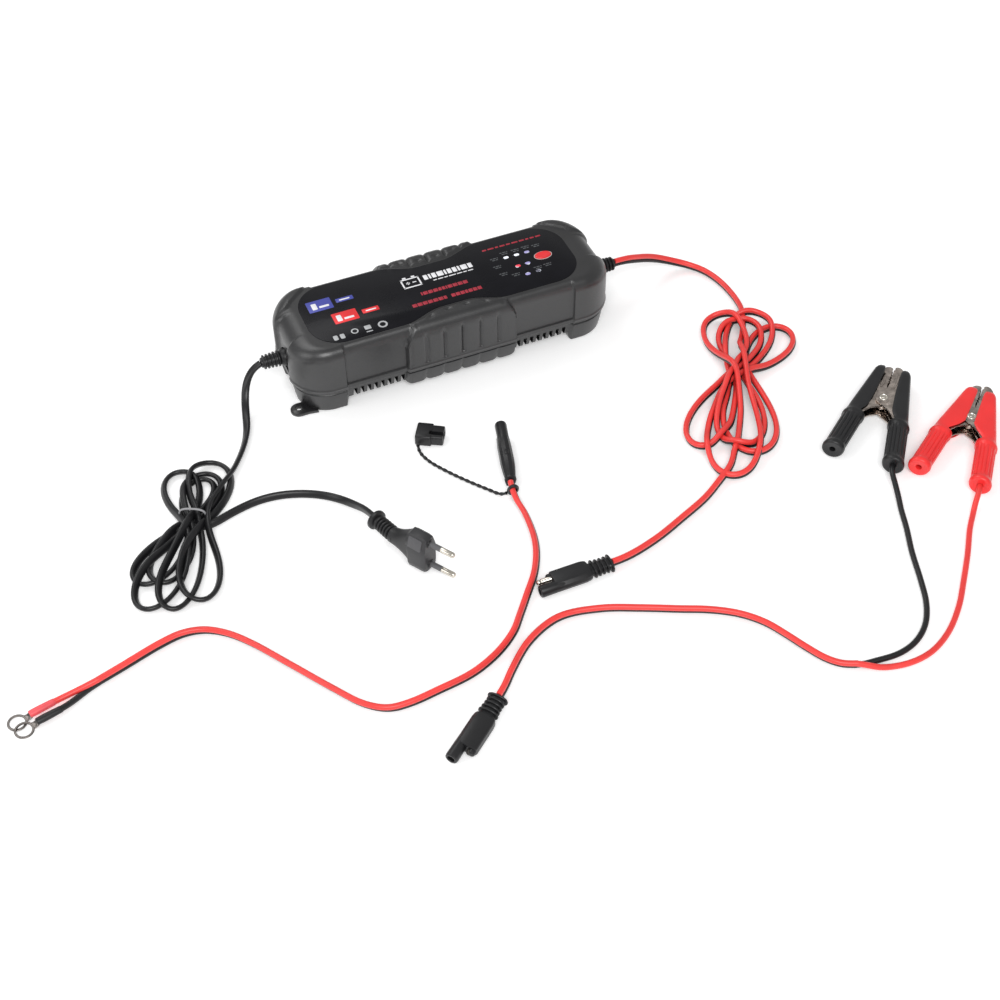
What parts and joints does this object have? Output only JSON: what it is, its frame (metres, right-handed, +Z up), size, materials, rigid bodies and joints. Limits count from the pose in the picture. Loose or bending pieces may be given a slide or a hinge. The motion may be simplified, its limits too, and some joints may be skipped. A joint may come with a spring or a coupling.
{
  "type": "car battery charger",
  "caption": "Mains car battery charger in a rounded two-shell case with corner guards and a button panel, with plug cord, output lead, ring-terminal lead and battery-clamp lead.",
  "frame": {"origin": "on the floor plane, under the middle of the charger case", "axes": "+X along the case towards the output lead, +Y away from the hanging-ear corner at the mains end, +Z up through the printed panel"},
  "size_m": [0.6875, 0.4223, 0.0574],
  "materials": {
    "case_plastic": "fine-grained moulded black",
    "label_gloss": "glossy printed film",
    "button_red": "satin red moulding",
    "light_guide_clear": "clear moulded light guide",
    "board_green": "solder-masked glass-fibre board",
    "component_black": "moulded component body",
    "ferrite": "pressed ferrite",
    "enamelled_wire": "enamelled copper wire",
    "heat_sink_aluminium": "extruded",
    "fuse_ceramic": "glazed ceramic tube",
    "relief_black": "soft moulded PVC",
    "screw_steel": "zinc plated",
    "cord_black": "satin PVC sheath",
    "tie_grey": "plastic-coated wire",
    "connector_black": "soft moulded PVC",
    "contact_nickel": "nickel plated brass",
    "cable_red": "satin PVC insulation",
    "clamp_steel": "nickel plated pressed steel",
    "grip_black": "soft dipped vinyl",
    "grip_red": "soft dipped vinyl"
  },
  "bodies": {
    "root": {"upper_case": "case_plastic", "lower_case": "case_plastic", "front_label": "label_gloss", "light_guide": "light_guide_clear", "display_board": "board_green", "button_switch": "component_black", "circuit_board": "board_green", "transformer_core": "ferrite", "transformer_winding": "enamelled_wire", "heat_sink": "heat_sink_aluminium", "power_transistor": "component_black", "bulk_capacitor": "component_black", "output_capacitor": "component_black", "filter_choke": "enamelled_wire", "fuse": "fuse_ceramic", "mains_strain_relief": "relief_black", "output_strain_relief": "relief_black", "case_screw_1": "screw_steel", "case_screw_2": "screw_steel", "case_screw_3": "screw_steel", "case_screw_4": "screw_steel", "mains_cord_body_end": "cord_black", "mains_cord_hank": "cord_black", "mains_cord_tie": "tie_grey", "mains_cord_plug_end": "cord_black", "mains_plug": "connector_black", "mains_plug_pin_1": "contact_nickel", "mains_plug_pin_2": "contact_nickel", "output_lead_body_end": "cable_red", "output_lead_hank": "cable_red", "output_lead_connector_end": "cable_red", "output_connector": "connector_black", "output_connector_pin": "contact_nickel", "ring_connector": "connector_black", "ring_connector_pin": "contact_nickel", "ring_connector_cap": "connector_black", "cap_tether": "connector_black", "ring_lead": "cable_red", "ring_wire_red": "cable_red", "ring_wire_black": "cord_black", "ring_terminal_red": "contact_nickel", "ring_terminal_black": "contact_nickel", "clamp_connector": "connector_black", "clamp_connector_pin": "contact_nickel", "clamp_lead": "cable_red", "clamp_wire_red": "cable_red", "clamp_wire_black": "cord_black", "black_clamp_fixed_arm": "clamp_steel", "black_clamp_fixed_grip": "grip_black", "black_clamp_pivot_pin": "clamp_steel", "black_clamp_spring": "clamp_steel", "red_clamp_fixed_arm": "clamp_steel", "red_clamp_fixed_grip": "grip_red", "red_clamp_pivot_pin": "clamp_steel", "red_clamp_spring": "clamp_steel"},
    "mode_button": {"mode_button": "button_red"},
    "black_clamp_jaw": {"black_clamp_moving_arm": "clamp_steel", "black_clamp_moving_grip": "grip_black"},
    "red_clamp_jaw": {"red_clamp_moving_arm": "clamp_steel", "red_clamp_moving_grip": "grip_red"}
  },
  "joints": [
    {"name": "mode_button_press", "type": "slide", "parent": "root", "child": "mode_button", "axis": [0, 0, -1], "range_m": [0, 0.0008], "stiffness_N_per_m": 350, "springref_m": -0.0005},
    {"name": "black_clamp_open", "type": "hinge", "parent": "root", "child": "black_clamp_jaw", "pos_m": [0.25023, -0.18645, 0.0078], "axis": [0, 0, 1], "range_deg": [0, 24], "stiffness_Nm_per_rad": 0.6, "springref_deg": -22.92, "deforming": ["black_clamp_spring"]},
    {"name": "red_clamp_open", "type": "hinge", "parent": "root", "child": "red_clamp_jaw", "pos_m": [0.29487, -0.2262, 0.0078], "axis": [0, 0, 1], "range_deg": [0, 24], "stiffness_Nm_per_rad": 0.6, "springref_deg": -22.92, "deforming": ["red_clamp_spring"]}
  ]
}
